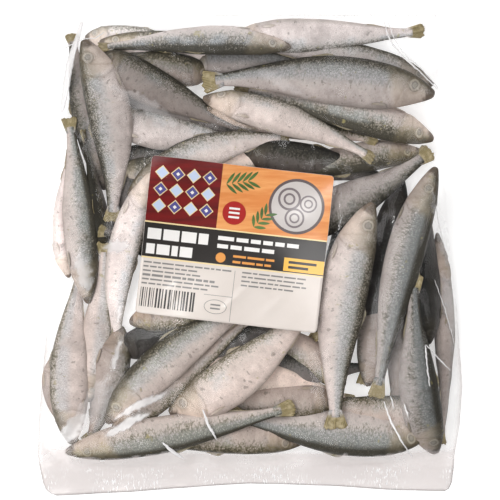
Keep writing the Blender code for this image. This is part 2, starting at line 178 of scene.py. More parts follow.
# The bag's outline: how far in from the box each side lies, along that side
LEFT_AT = (-157.5, -156.5, -153.5, -149, -144, -131, -110, -68, -29, 36, 75, 110, 157)
LEFT_IN = (12, 8.5, 5, 3.2, 2.4, 0, 0.5, 4, 8, 9.5, 13, 13.5, 15.5)
RIGHT_AT = (-157.5, -156, -152, -146, -133, -114, -88, -36, 26, 81, 157)
RIGHT_IN = (11, 8.5, 6.6, 6, 5, 1.8, 0, 3.5, 10, 14, 17)
FOOT_AT = (-126, -78, -32, 0, 52, 97, 130)
FOOT_IN = (0, 2.5, 6, 8, 6.5, 3.5, 3)


def smooth(share):
    """A share from 0 to 1, eased at both ends."""
    share = np.clip(share, 0, 1)
    return share * share * (3 - 2 * share)


def left_side(y):
    return -BAG_WIDTH / 2 + np.interp(y, LEFT_AT, LEFT_IN)


def right_side(y):
    return BAG_WIDTH / 2 - np.interp(y, RIGHT_AT, RIGHT_IN)


def foot_side(x):
    return -BAG_LENGTH / 2 + np.interp(x, FOOT_AT, FOOT_IN)


def axis_of_cells(length):
    half = math.ceil((length / 2 + MARGIN) / CELL)
    return np.arange(-half, half + 1) * CELL


XS = axis_of_cells(BAG_WIDTH)
YS = axis_of_cells(BAG_LENGTH)
X, Y = np.meshgrid(XS, YS)


def read(heights, x, y):
    """The height at points between the cells of a height map."""
    i = np.clip((x - XS[0]) / CELL, 0, len(XS) - 1.001)
    j = np.clip((y - YS[0]) / CELL, 0, len(YS) - 1.001)
    i0, j0 = i.astype(int), j.astype(int)
    fi, fj = i - i0, j - j0
    low = heights[j0, i0] * (1 - fi) + heights[j0, i0 + 1] * fi
    high = heights[j0 + 1, i0] * (1 - fi) + heights[j0 + 1, i0 + 1] * fi
    return low * (1 - fj) + high * fj


def spine(herring, t):
    """Points on the parabola through a herring's snout, middle and tail, and the way ahead at each."""
    t = np.asarray(t)[:, None]
    start, middle, end = (np.array(p, float) for p in (herring.snout, herring.middle, herring.tail))
    plan = start * (1 - t) * (1 - 2 * t) + middle * 4 * t * (1 - t) + end * t * (2 * t - 1)
    ahead = start * (4 * t - 3) + middle * 4 * (1 - 2 * t) + end * (4 * t - 1)
    return plan, ahead / np.linalg.norm(ahead, axis=1)[:, None]


def section(herring, t):
    """Half the depth, half the width and the sag of the body at a share t of its length."""
    half_depth = np.interp(t, ALONG, DEPTH_ALONG) * herring.depth / 2
    half_width = np.interp(t, ALONG, WIDTH_ALONG) * herring.depth * THICKNESS_SHARE / 2
    sag = BELLY_DROP * herring.depth * np.sin(np.pi * np.clip(t / 0.9, 0, 1))
    return half_depth, half_width, sag


def shadow(herring):
    """The cells under a herring, how far along it they are, and its top and underside from its spine."""
    points, _ = spine(herring, SHARES)
    ahead = np.gradient(points, axis=0)
    pace = np.linalg.norm(ahead, axis=1)
    ahead /= pace[:, None]
    low, high = points.min(axis=0) - herring.depth, points.max(axis=0) + herring.depth
    rows, columns = np.nonzero((X > low[0]) & (X < high[0]) & (Y > low[1]) & (Y < high[1]))
    away = np.stack([X[rows, columns], Y[rows, columns]], axis=1)[:, None, :] - points
    nearest = np.argmin((away**2).sum(2), axis=1)
    offset = away[np.arange(len(rows)), nearest]
    along = (offset * ahead[nearest]).sum(1)
    left = offset[:, 1] * ahead[nearest, 0] - offset[:, 0] * ahead[nearest, 1]
    t = (nearest + along / pace[nearest]) / (STATIONS - 1)
    half_depth, half_width, sag = section(herring, t)
    roll = math.radians(herring.roll)
    cos, sin = math.cos(roll), math.sin(roll)
    across = half_depth**2 * cos**2 + half_width**2 * sin**2
    mixed = (half_depth**2 - half_width**2) * sin * cos
    upright = half_depth**2 * sin**2 + half_width**2 * cos**2
    offset_across = left * herring.back + sag * cos
    room = 1 - offset_across**2 / across
    inside = (room > 0) & (t >= 0) & (t <= 1)
    bulge = np.sqrt(np.clip(upright - mixed**2 / across, 0, None)) * np.sqrt(np.clip(room, 0, None))
    middle = mixed / across * offset_across - sag * sin
    return tuple(part[inside] for part in (rows, columns, t, middle + bulge, middle - bulge))


def resting(herring):
    """The height of a herring's spine where its body touches the back film, at each station."""
    half_depth, half_width, sag = section(herring, SHARES)
    roll = math.radians(herring.roll)
    return FILM + np.hypot(half_depth * math.sin(roll), half_width * math.cos(roll)) + sag * math.sin(roll)


def highest(t, heights):
    """The greatest of the heights at each station."""
    need = np.full(STATIONS, -np.inf)
    np.maximum.at(need, np.round(t * (STATIONS - 1)).astype(int), heights)
    return need


def settle(bedded, covering):
    """The lowest gently bent line that clears covering, and nearly clears bedded, at each station."""
    arch = 4 * SHARES * (1 - SHARES)
    lines = []
    for bend in np.linspace(-MOST_ARCH, MOST_ARCH, 9):
        for rise in np.linspace(-STEEPEST, STEEPEST, 53):
            line = rise * (SHARES - 0.5) + bend * arch
            short = bedded - line
            bedding = max(np.percentile(short, BEDDED_SHARE), short.max() - MOST_SQUEEZE)
            line = line + max(bedding, (covering - line).max())
            lines.append((line.mean() + ARCH_COST * abs(bend), line))
    return min(lines, key=lambda pair: pair[0])[1]


def packed():
    """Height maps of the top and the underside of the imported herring, and the heights of their spines."""
    top, underside, lines = np.full(X.shape, FILM), np.full(X.shape, np.inf), []
    for herring in HERRINGS:
        rows, columns, t, up, down = shadow(herring)
        bed = top[rows, columns]
        on_fish = bed > FILM
        floor = resting(herring)
        bedded = highest(t, np.where(on_fish, bed - SQUEEZE, -np.inf) - down)
        thick = up - down > 0.7 * (highest(t, up - down))[np.round(t * (STATIONS - 1)).astype(int)]
        covering = highest(t, np.where(on_fish & thick, bed + COVER, -np.inf) - up)
        line = np.maximum(settle(np.maximum(bedded, floor), covering), floor)
        level = np.interp(t, SHARES, line)
        top[rows, columns] = np.maximum(bed, level + up)
        underside[rows, columns] = np.minimum(underside[rows, columns], level + down)
        lines.append(line)
    return top, np.maximum(underside, FILM), lines


def evened(heights):
    """Each cell's height as the mean of its four neighbours."""
    padded = np.pad(heights, 1, mode="edge")
    return (padded[:-2, 1:-1] + padded[2:, 1:-1] + padded[1:-1, :-2] + padded[1:-1, 2:]) / 4


def stretched(heights, held, over):
    """Film laid over what it may not cross: over(new, old) keeps it clear, and the held cells stay put."""
    film = heights.copy()
    for turn in range(TAUT):
        film = np.where(held, heights, over(evened(film), heights))
        if turn == CLINGING:
            clinging = film
    return SLACK * clinging + (1 - SLACK) * film


def band_share():
    """How far out on the welded bands each cell is, from 0 at the contents to 1 at the bag's foot or head."""
    welded_to = SEAM_BAND - BAG_LENGTH / 2
    foot = (welded_to - Y) / (welded_to - foot_side(X))
    return np.maximum(foot, (Y - (BAG_LENGTH / 2 - HEAD_BAND)) / HEAD_BAND)


def mid_film():
    """Where front and back film would meet with nothing between them."""
    share = smooth(band_share())
    ripple = BAND_RIPPLE * np.sin(X / BAG_WIDTH * BAND_RIPPLES * 2 * np.pi + 1) * share
    return FOLD_HEIGHT + (BAND_EDGE_HEIGHT - FOLD_HEIGHT) * share + np.maximum(ripple, -0.5)


def turned(x, y, turn):
    cos, sin = math.cos(turn), math.sin(turn)
    return x * cos - y * sin, x * sin + y * cos


def on_label(x, y, margin):
    """Whether points in plan lie under the label."""
    across, along = turned(x - LABEL_CENTRE[0], y - LABEL_CENTRE[1], -LABEL_TURN)
    return (np.abs(across) <= LABEL_SIZE[0] / 2 + margin) & (np.abs(along) <= LABEL_SIZE[1] / 2 + margin)


def blurred(heights, reach):
    """A height map evened out over a square of cells."""
    kernel = np.ones(2 * reach + 1) / (2 * reach + 1)
    heights = np.pad(heights, reach, mode="edge")
    for axis in (1, 0):
        heights = np.apply_along_axis(lambda line: np.convolve(line, kernel, "valid"), axis, heights)
    return heights


def paper(front, top):
    """The label's underside: stiff paper that lies on the highest of what is under it."""
    sheet = front.copy()
    for _ in range(LABEL_ROUNDS):
        sheet = np.maximum(blurred(sheet, LABEL_BEND), front)
    sheet = blurred(blurred(sheet, LABEL_BEND), 2)
    under = on_label(X, Y, LABEL_RIM)
    return sheet + max(0, (top - sheet)[under].max()) + LABEL_GAP


def films(top, underside):
    """Height maps of the bag's front, its back and the label's underside."""
    middle = mid_film()
    held = (X < left_side(Y)) | (X > right_side(Y)) | (band_share() > 0)
    clear_of = np.where(held, middle, top + FILM)
    label = paper(stretched(clear_of, held, np.maximum), top + FILM)
    under = on_label(X, Y, LABEL_RIM)
    clear_of = np.where(under, label - LABEL_GAP, clear_of)
    front = stretched(clear_of, held | under, np.maximum)
    below = np.where(np.isfinite(underside), underside - FILM, front - BAND_THICKNESS)
    back = stretched(np.where(held, middle, below), held, np.minimum)
    return front, np.where(held, back, np.maximum(back - FLATTENED, 0)), label


# A herring's body along its length, as shares of its depth: how far its back and its belly are from its
# spine, and half its width
BODY = np.array((
    (0, 0.02, 0.03, 0.015),
    (0.008, 0.065, 0.085, 0.05),
    (0.025, 0.115, 0.15, 0.09),
    (0.06, 0.195, 0.245, 0.145),
    (0.1, 0.265, 0.335, 0.19),
    (0.15, 0.33, 0.43, 0.23),
    (0.205, 0.38, 0.505, 0.255),
    (0.26, 0.41, 0.55, 0.268),
    (0.33, 0.43, 0.575, 0.27),
    (0.4, 0.435, 0.575, 0.27),
    (0.5, 0.42, 0.54, 0.25),
    (0.6, 0.36, 0.455, 0.205),
    (0.7, 0.28, 0.335, 0.155),
    (0.78, 0.21, 0.24, 0.11),
    (0.85, 0.155, 0.17, 0.075),
    (0.9, 0.13, 0.14, 0.055),
    (0.93, 0.125, 0.13, 0.045),
))
BACK, BELLY, WIDE = 1, 2, 3  # its columns

HEAD_END = 0.215  # of the gill cover, as a share of the length
BODY_END = 0.93
HEAD_RINGS = 46
BODY_RINGS = 34
AROUND = 44
EYE_AT = 0.102
EYE_RISE = 0.06  # above the spine, as a share of the depth
EYE_RADIUS = 0.14
NO_EYE = 9  # how many of its radii away the eye is, where there is none


def eased(x, at, values):
    """A smooth curve through values, read at x."""
    x = np.clip(x, at[0], at[-1])
    slopes = np.gradient(values, at)
    i = np.clip(np.searchsorted(at, x, side="right") - 1, 0, len(at) - 2)
    step = at[i + 1] - at[i]
    u = (x - at[i]) / step
    straight_on = values[i] + (values[i + 1] - values[i]) * smooth(u)
    return straight_on + step * u * (1 - u) * (slopes[i] * (1 - u) - slopes[i + 1] * u)


def body_at(herring, t, column):
    return eased(t, BODY[:, 0], BODY[:, column]) * herring.depth


def bell(x, middle, width):
    return np.exp(-(((x - middle) / width) ** 2))


def triples(*parts):
    """A row of three numbers for each point."""
    return np.stack(np.broadcast_arrays(*parts), axis=-1).reshape(-1, 3)


def placed(herring, line, t, rise, out):
    """Points in the pile, from the share along a herring, the rise to its back and the way out of it."""
    plan, ahead = spine(herring, t)
    across, up = turned(rise, out, math.radians(herring.roll))
    left = np.stack([-ahead[:, 1], ahead[:, 0]], axis=1) * (herring.back * across)[:, None]
    return np.column_stack([plan + left, up + eased(t, SHARES, line)])


def ring(around):
    """Neighbours round a closed ring of points."""
    return [(a, (a + 1) % around) for a in range(around)]


def tube_faces(rings, around):
    """Quads between closed rings of points."""
    starts = [(r * around, (r + 1) * around) for r in range(rings - 1)]
    return [(low + a, low + b, high + b, high + a) for low, high in starts for a, b in ring(around)]


def sheet_faces(rows, columns):
    """Quads between a sheet's rows and columns of points."""
    number = np.arange(rows * columns).reshape(rows, columns)
    corners = (number[:-1, :-1], number[:-1, 1:], number[1:, 1:], number[1:, :-1])
    return np.stack(corners, axis=-1).reshape(-1, 4)


def slab_faces(rows, columns):
    """Faces of an upper and a lower sheet of points, joined round their edge."""
    quads, count = sheet_faces(rows, columns), rows * columns
    number = np.arange(count).reshape(rows, columns)
    edge = [*number[0, :-1], *number[:-1, -1], *number[-1, :0:-1], *number[:0:-1, 0]]
    walls = [(b, a, a + count, b + count) for a, b in zip(edge, edge[1:] + edge[:1])]
    return np.concatenate([quads, quads[:, ::-1] + count, walls]).tolist()


def joined(bodies):
    """The arrays and the faces of several bodies as one."""
    faces, count = [], 0
    for parts, own in bodies:
        faces += [tuple(n + count for n in face) for face in own]
        count += len(parts[0])
    return [np.concatenate(same) for same in zip(*(parts for parts, _ in bodies))], faces


def dents(rng, x, arc):
    """Shallow hollows and swellings left by freezing against other herring."""
    total = 0
    for wavelength, height in ((55, 0.35), (34, 0.28), (21, 0.18), (13, 0.1)):
        for _ in range(2):
            heading, phase = rng.uniform(0, math.pi), rng.uniform(0, 2 * math.pi)
            way = x * math.cos(heading) + arc * math.sin(heading)
            total += height * np.sin(2 * math.pi / wavelength * way + phase)
    return total * 0.7


def body_of_herring(herring, length, rng):
    """A herring's body: its points as shares along, rise and out, their looks, and its faces."""
    depth = herring.depth
    head = HEAD_END * (0.02 + 0.98 * np.linspace(0, 1, HEAD_RINGS) ** 1.15)
    rings = np.concatenate([head, np.linspace(HEAD_END + 0.006, BODY_END, BODY_RINGS)])
    t, angle = np.meshgrid(rings, np.linspace(0, 2 * math.pi, AROUND, endpoint=False), indexing="ij")
    to_back, to_flank = np.cos(angle), np.sin(angle)
    back, belly, wide = (body_at(herring, t, column) for column in (BACK, BELLY, WIDE))
    nearer = np.where(to_back > 0, back, belly)
    rise = nearer * to_back
    keel = 1 - 0.22 * np.clip(-to_back, 0, 1) ** 3
    out = wide * np.sign(to_flank) * np.abs(to_flank) ** 0.92 * keel
    x = t * length
    arc = angle / math.pi * (back + belly) * 0.62

    h = rise / depth
    eye = np.hypot((t - EYE_AT) * length, rise - EYE_RISE * depth) / (EYE_RADIUS * depth)
    cover_edge = HEAD_END - 0.05 * ((h + 0.1) / 0.42) ** 2 + 0.003 * math.sin(depth * 3)
    beyond_cover = (t - cover_edge) * length
    cover = smooth((t - 0.125) / 0.03) * smooth(0.5 - beyond_cover / 1.1)
    cheek_edge = 0.152 - 0.06 * np.clip(h + 0.12, -0.3, 0.3)
    cheek = bell((t - cheek_edge) * length, 0, 0.6) * smooth((0.14 - h) / 0.1) * smooth((h + 0.46) / 0.1)
    mouth = bell(h + 0.02 + t * 2.6, 0, 0.018) * smooth((0.062 - t) / 0.015)
    jaw = bell(h + 0.145 + t * 1.2, 0, 0.022) * smooth((0.11 - t) / 0.03) * smooth((t - 0.03) / 0.02)
    socket = bell(eye, 1.08, 0.16)
    ball = np.sqrt(np.clip(1 - eye**2, 0, 1))
    nostril = bell(np.hypot((t - 0.045) * length, (h - 0.085) * depth), 0, 0.55)

    relief = 0.55 * (cover + ball) - 0.35 * (cheek + socket + nostril) - 0.45 * mouth - 0.2 * jaw
    relief += dents(rng, x, arc) * smooth((t - 0.03) / 0.1) * (1 - 0.5 * smooth((t - 0.75) / 0.1))
    relief *= np.abs(to_flank) ** 0.5
    spread_rise, spread_out = to_back / np.maximum(nearer, 0.5), to_flank / np.maximum(wide, 0.5)
    spread = relief / np.hypot(spread_rise, spread_out)
    rise, out = rise + spread * spread_rise, out + spread * spread_out

    gill = bell(beyond_cover, 0.5, 0.7) * smooth((0.28 - h) / 0.08) * smooth((h + 0.52) / 0.08)
    # groove_shade: painted shade in the dips of the gill cover's edge, cheek, eye socket, mouth, jaw and
    # nostril
    groove_shade = np.clip(0.8 * gill + 0.6 * (cheek + socket) + mouth + 0.5 * jaw + nostril, 0, 1)
    last = (len(rings) - 1) * AROUND
    snout, stump = last + AROUND, last + AROUND + 1
    ends = (
        np.array([rings[0] * 0.55, BODY_END + 0.005]),
        np.array([-0.01 * depth, 0]),
        np.zeros(2),
        triples([0, BODY_END], 0, NO_EYE),
        triples([0, length], 0, 0),
        np.zeros((2, 3)),
    )
    looks = (
        triples(t, to_back, np.minimum(eye, NO_EYE)),
        triples(x, arc * 1.8, 0),
        triples(groove_shade, gill, 0),
    )
    parts = [np.concatenate(pair) for pair in zip((t.ravel(), rise.ravel(), out.ravel(), *looks), ends)]
    fans = [(b, a, snout) for a, b in ring(AROUND)] + [(last + a, last + b, stump) for a, b in ring(AROUND)]
    return parts, tube_faces(len(rings), AROUND) + fans


def grid(rows, columns, low=-1):
    """How far down its rows, from 0 to 1, and along them, from low to 1, each point of a sheet is."""
    return np.meshgrid(np.linspace(0, 1, rows), np.linspace(low, 1, columns), indexing="ij")


def plate(t, rise, out, thickness, height, own):
    """A thin closed fin: height is where on the body its colour lies, own how much of it is its own."""
    sides = np.concatenate([triples(t, rise, out + thickness / 2), triples(t, rise, out - thickness / 2)])
    along, ray = grid(*t.shape, 0)
    looks = (triples(t, height, NO_EYE), triples(along * 10, ray * 10, 0), triples(0, 0, own))
    return [*sides.T, *(np.tile(look, (2, 1)) for look in looks)], slab_faces(*t.shape)


def ragged(rng, count, amount):
    """A torn edge's ups and downs."""
    coarse, fine = rng.uniform(-1, 1, (2, count))
    coarse = np.convolve(np.pad(coarse, 1, mode="edge"), (0.25, 0.5, 0.25), "valid")
    return amount * (0.6 * coarse + 0.4 * fine)


def tail_fin(herring, rng):
    """A short, frayed tail fin that spreads from the body's end."""
    u, v = grid(10, 25)
    notch = rng.uniform(-0.01, 0.012)
    end = 0.984 - notch * (1 - np.abs(v) ** 1.5) - 0.012 * np.abs(v) ** 5 + ragged(rng, v.shape[1], 0.008)
    open_to = herring.depth * (0.125 + (rng.uniform(0.21, 0.26) - 0.125) * u**0.9)
    thickness = (0.085 * herring.depth * (1 - u) ** 2 + 0.5) * (0.85 + 0.15 * np.cos(v * 34))
    out = (rng.uniform(-1.2, 1.2) + rng.uniform(-1, 1) * v) * u**2 + 0.25 * np.sin(v * 9 + u * 3) * u
    t, rise = 0.9 + (end - 0.9) * u, v * open_to - 0.01 * herring.depth
    return plate(t, rise, out, thickness * (1 - 0.4 * np.abs(v) ** 6), 0, smooth((u - 0.1) / 0.35))


def side_fin(herring, length, side, rng):
    """A pointed fin folded back along the flank, behind the gill cover."""
    u, v = grid(8, 6)
    reach, droop = rng.uniform(8, 11), rng.uniform(0.02, 0.12)
    t = HEAD_END - 0.005 + u * reach / length + 0.006 * v * (1 - u)
    half = 1.2 * (0.45 + 0.6 * u) * (1 - u**3)
    rise = -0.44 * herring.depth - droop * u * reach + v * half + ragged(rng, v.shape[1], 0.15) * u
    nearer = np.where(rise > 0, body_at(herring, t, BACK), body_at(herring, t, BELLY))
    flank = body_at(herring, t, WIDE) * np.sqrt(1 - np.clip(np.abs(rise) / nearer, 0, 1) ** 2)
    out = side * (flank + 0.25 + 0.3 * np.sin(u * math.pi) + 0.1 * np.cos(v * 9))
    return plate(t, rise, out, 0.42 * (1 - 0.5 * u), -0.3, 0.15 + 0.35 * u)


def edge_fin(herring, start, end, height, column, sweep, lean, rng):
    """A fin along the back or the belly, partly folded down."""
    v, u = grid(5, 16, 0)
    sign = 1 if column == BACK else -1
    t = start + (end - start) * u + sweep * v
    tall = height * (0.25 + 0.75 * np.sin(np.clip(u * 1.15, 0, 1) ** 0.6 * math.pi))
    tall += ragged(rng, u.shape[1], 0.25)
    rise = sign * (body_at(herring, t, column) - 0.8 + v * (tall + 0.8))
    out = lean * v * height + 0.1 * np.cos(u * 40) * v
    return plate(t, rise, out, 0.6 * (1 - 0.6 * v), 0.35 * sign, 0.35 + 0.4 * v)


def fins(herring, length, rng):
    yield tail_fin(herring, rng)
    yield side_fin(herring, length, 1, rng)
    yield side_fin(herring, length, -1, rng)
    lean = rng.choice((-0.5, 0.4, 0.7))
    yield edge_fin(herring, 0.43, 0.52, rng.uniform(1, 2), BACK, 0.03, lean, rng)
    yield edge_fin(herring, 0.7, 0.8, rng.uniform(0.6, 1.2), BELLY, 0.02, 0, rng)


class Graph:
    """A material's nodes, made one at a time and joined by their sockets."""

    def __init__(self, name):
        self.material = bpy.data.materials.new(name)
        self.material.use_nodes = True
        self.tree = self.material.node_tree

    def feed(self, socket, value):
        if isinstance(value, bpy.types.NodeSocket):
            self.tree.links.new(value, socket)
        else:
            socket.default_value = (*value, 1) if socket.type == "RGBA" else value

    def node(self, kind, inputs, **settings):
        made = self.tree.nodes.new("ShaderNode" + kind)
        for key, value in settings.items():
            setattr(made, key, value)
        for key, value in inputs.items():
            self.feed(made.inputs[key], value)
        return made

    def math(self, operation, a, b, clamp=False):
        return self.node("Math", {0: a, 1: b}, operation=operation, use_clamp=clamp).outputs[0]

    def times(self, a, b):
        return self.math("MULTIPLY", a, b)

    def plus(self, value, *others):
        for other in others:
            value = self.math("ADD", value, other)
        return value

    def off(self, value, amount, middle=0.5):
        return self.times(self.math("SUBTRACT", value, middle), amount)

    def mix(self, share, a, b, blend="MIX"):
        return self.node("Mix", {0: share, 6: a, 7: b}, data_type="RGBA", blend_type=blend).outputs[2]

    def over(self, colour, *layers):
        """A colour with others laid over it, each after the share of it that covers what is below."""
        for share, upper in layers:
            colour = self.mix(share, colour, upper)
        return colour

    def span(self, value, low, high, to_low=0, to_high=1):
        """An eased step from to_low to to_high, as the value goes from low to high."""
        inputs = {0: value, 1: low, 2: high, 3: to_low, 4: to_high}
        return self.node("MapRange", inputs, interpolation_type="SMOOTHSTEP").outputs[0]

    def ramp(self, value, *stops):
        made = self.node("ValToRGB", {0: value})
        elements = made.color_ramp.elements
        while len(elements) < len(stops):
            elements.new(0.5)
        for element, (place, colour) in zip(elements, stops):
            element.position = place
            element.color = (*colour, 1)
        return made.outputs[0]

    def noise(self, vector, scale, detail=3, roughness=0.55):
        inputs = {"Vector": vector, "Scale": scale, "Detail": detail, "Roughness": roughness}
        return self.node("TexNoise", inputs).outputs[0]

    def place(self):
        return self.node("TexCoord", {}).outputs["Object"]

    def stretch(self, vector, x, y, turn=0):
        inputs = {"Vector": vector, "Scale": (x, y, 1), "Rotation": (0, 0, turn)}
        return self.node("Mapping", inputs).outputs[0]

    def parts(self, attribute):
        """An attribute's three numbers."""
        return self.node("SeparateXYZ", {0: self.attribute(attribute)}).outputs

    def attribute(self, name):
        return self.node("Attribute", {}, attribute_name=name).outputs["Vector"]

    def bumps(self, *layers):
        """Relief on relief: each layer's height, its depth in millimetres and its strength."""
        inputs = {}
        for height, depth, strength in layers:
            inputs.update(Height=height, Distance=depth * MM, Strength=strength)
            inputs["Normal"] = self.node("Bump", inputs).outputs[0]
        return inputs["Normal"]

    def finish(self, **inputs):
        shader = self.tree.nodes["Principled BSDF"]
        for key, value in inputs.items():
            self.feed(shader.inputs[key.replace("_", " ").title().replace("Ior", "IOR")], value)
        return self.material


def flank_colour(g, skin, level, height, silver, coarse, grains):
    """A pale belly, a silver flank with painted sheen and glints and a dark back, with small specks and
    larger spots, and painted shade along the belly's lowest edge.
    """
    colour = g.ramp(
        level,
        (0, (0.49, 0.43, 0.415)),
        (0.3, (0.53, 0.475, 0.46)),
        (0.5, (0.5, 0.46, 0.445)),
        (0.61, (0.39, 0.365, 0.345)),
        (0.71, (0.26, 0.243, 0.22)),
        (0.83, (0.13, 0.12, 0.101)),
        (0.98, (0.038, 0.035, 0.028)),
    )
    band = g.times(g.span(height, -0.35, 0.1), g.span(height, 0.78, 0.4))
    # shine: a painted bluish silver sheen along the flank, stronger on more silvery herring
    shine = g.times(band, g.span(g.plus(coarse, g.times(silver, 0.3)), 0.45, 0.75))
    gaps = g.times(g.span(grains, 0.47, 0.38), g.plus(0.1, g.times(shine, 0.3)))
    # sparkle: painted glints of light on the silver scales
    sparkle = g.times(g.span(grains, 0.53, 0.64), g.times(shine, 0.4))
    specks = g.times(g.span(g.noise(skin, 0.75, 1, 0.4), 0.7, 0.76), 0.5)
    spots = g.times(g.span(g.noise(skin, 0.36, 1.5, 0.4), 0.665, 0.72), g.span(level, 0.75, 0.45, 0.15, 0.5))
    return g.over(
        colour,
        # the painted sheen
        (g.times(shine, 0.45), (0.32, 0.355, 0.4)),
        (gaps, (0.16, 0.15, 0.14)),
        # the painted glints
        (sparkle, (0.7, 0.71, 0.73)),
        # painted shade darkening the lowest edge of the belly
        (g.span(height, -0.78, -1, 0, 0.6), (0.27, 0.24, 0.22)),
        (specks, (0.13, 0.11, 0.085)),
        (spots, (0.15, 0.135, 0.12)),
    )


def head_colour(g, height, middling):
    return g.ramp(
        g.plus(g.times(g.plus(height, 1), 0.5), g.off(middling, 0.45)),
        (0, (0.46, 0.38, 0.325)),
        (0.4, (0.46, 0.39, 0.33)),
        (0.6, (0.36, 0.31, 0.25)),
        (0.78, (0.19, 0.165, 0.125)),
        (0.95, (0.075, 0.064, 0.045)),
    )


def eye_colour(g, eye, middling, fine):
    """A frosted pupil in a pale ring with a dark rim."""
    return g.ramp(
        g.plus(eye, g.off(fine, 0.35), g.off(middling, 0.5)),
        (0, (0.27, 0.26, 0.25)),
        (0.36, (0.25, 0.24, 0.225)),
        (0.46, (0.13, 0.12, 0.11)),
        (0.6, (0.36, 0.335, 0.3)),
        (0.78, (0.4, 0.37, 0.33)),
        (0.97, (0.13, 0.11, 0.085)),
    )


def fin_colour(g, skin):
    wave = {"Vector": skin, "Scale": 0.42, "Distortion": 1.2, "Detail": 2}
    rays = g.node("TexWave", wave, bands_direction="Y").outputs["Fac"]
    colour = g.mix(rays, (0.15, 0.118, 0.055), (0.34, 0.275, 0.14))
    return g.mix(g.span(g.noise(skin, 0.35), 0.45, 0.7), colour, (0.42, 0.35, 0.215))


def herring_material():
    """A herring's skin, with the head, the eye, the fins and stains in their own colours."""
    g = Graph("herring_skin")
    skin = g.attribute("skin")
    t, height, eye = g.parts("zone")
    groove_shade, silver, fin = g.parts("mark")
    dark, tone, warm = g.parts("mood")
    coarse, middling, fine = g.noise(skin, 0.07), g.noise(skin, 0.26), g.noise(skin, 1.5, 3, 0.65)
    grains = g.noise(g.stretch(skin, 1.25, 1.15), 1, 2, 0.7)
    cells = g.node("TexVoronoi", {"Vector": g.stretch(skin, 0.8, 0.72), "Scale": 1, "Randomness": 0.8})
    scales = cells.outputs["Distance"]

    uneven = ((dark, 0.9), (scales, 0.8, 0.45), (grains, 0.6), (coarse, 0.9), (middling, 0.8), (fine, 1.4))
    level = g.times(g.plus(height, *(g.off(*part) for part in uneven), 1), 0.5)
    head = g.span(g.math("SUBTRACT", t, g.times(height, 0.03)), HEAD_END + 0.012, HEAD_END - 0.03)
    snout = g.span(g.plus(t, g.off(middling, 0.07)), 0.06, 0.028)
    stains = g.times(g.span(g.noise(skin, 0.17, 3, 0.6), 0.66, 0.72), g.span(t, 0.02, 0.08))
    colour = g.over(
        flank_colour(g, skin, level, height, silver, coarse, grains),
        (g.times(head, 0.7), head_colour(g, height, middling)),
        (g.times(snout, 0.85), (0.075, 0.058, 0.045)),
        # painted shade in the head's grooves
        (g.times(groove_shade, 0.45), (0.17, 0.12, 0.08)),
        (g.times(g.span(eye, 1.02, 0.9), 0.72), eye_colour(g, eye, middling, fine)),
        (g.times(stains, 0.55), (0.3, 0.27, 0.12)),
    )
    mottle = g.plus(1.03, g.off(coarse, 0.7), g.off(middling, 0.45), g.off(fine, 0.3))
    colour = g.mix(1, colour, g.times(mottle, tone), "MULTIPLY")
    tint = g.mix(g.span(level, 0.62, 0.88), (1.05, 0.95, 0.86), (1.09, 1, 0.72))
    colour = g.mix(warm, colour, g.mix(1, colour, tint, "MULTIPLY"))
    return g.finish(
        base_color=g.mix(fin, colour, fin_colour(g, skin)),
        roughness=g.span(g.plus(coarse, g.times(fine, 0.6)), 0.5, 1.1, 0.42, 0.66),
        normal=g.bumps((scales, 0.22, 0.7), (fine, 0.2, 0.6), (middling, 0.9, 0.5)),
        specular_ior_level=0.22,
    )


def film_material():
    """Clear film, milky and grey by the bag's sides and foot (the grey partly painted shade), with painted
    glare where it is creased and painted glints where it is crimped at the weld.
    """
    g = Graph("clear_film")
    place = g.place()
    haze_and_glare, band, grey = g.parts("film")
    broad = g.noise(place, 45, 4, 0.6)
    crimp = g.noise(g.stretch(place, 900, 260), 1, 2)
    patches = g.span(g.noise(place, 28), 0.42, 0.58)
    # glint: painted glints of light along the crimped weld
    glint = g.times(g.times(band, patches), g.span(crimp, 0.55, 0.62))
    milky_and_glare = g.times(haze_and_glare, g.span(broad, 0.25, 0.75, 0.6, 1))
    milky_and_glare = g.math("ADD", milky_and_glare, g.times(band, 0.42), clamp=True)
    milky_and_glare = g.math("MAXIMUM", milky_and_glare, g.times(glint, 0.85))
    # grey by the weld and the bag's lower sides and foot: partly the film's own tint, partly painted shade
    colour = g.mix(g.math("MAXIMUM", band, grey), (0.9, 0.88, 0.88), (0.6, 0.52, 0.5))
    return g.finish(
        base_color=g.mix(glint, colour, (0.95, 0.94, 0.94)),
        roughness=0.16,
        metallic=g.span(milky_and_glare, 0, 0.15, 1, 0.05),
        alpha=g.math("ADD", g.span(broad, 0.35, 0.65, 0.008, 0.03), milky_and_glare, clamp=True),
        normal=g.bumps((broad, 1, 0.5), (g.noise(place, 320, 4, 0.6), 0.25, 0.5)),
    )


def paper_material():
    g = Graph("label_paper")
    fibre = g.noise(g.place(), 900, 4, 0.7)
    broad = g.noise(g.place(), 30)
    colour = g.mix(g.span(broad, 0.35, 0.7), (0.68, 0.61, 0.56), (0.73, 0.66, 0.61))
    colour = g.mix(g.times(fibre, 0.12), colour, (0.52, 0.46, 0.42))
    shape = g.bumps((fibre, 0.05, 0.4), (broad, 0.8, 0.4))
    return g.finish(base_color=colour, roughness=0.34, normal=shape, coat_weight=0.25, coat_roughness=0.2)


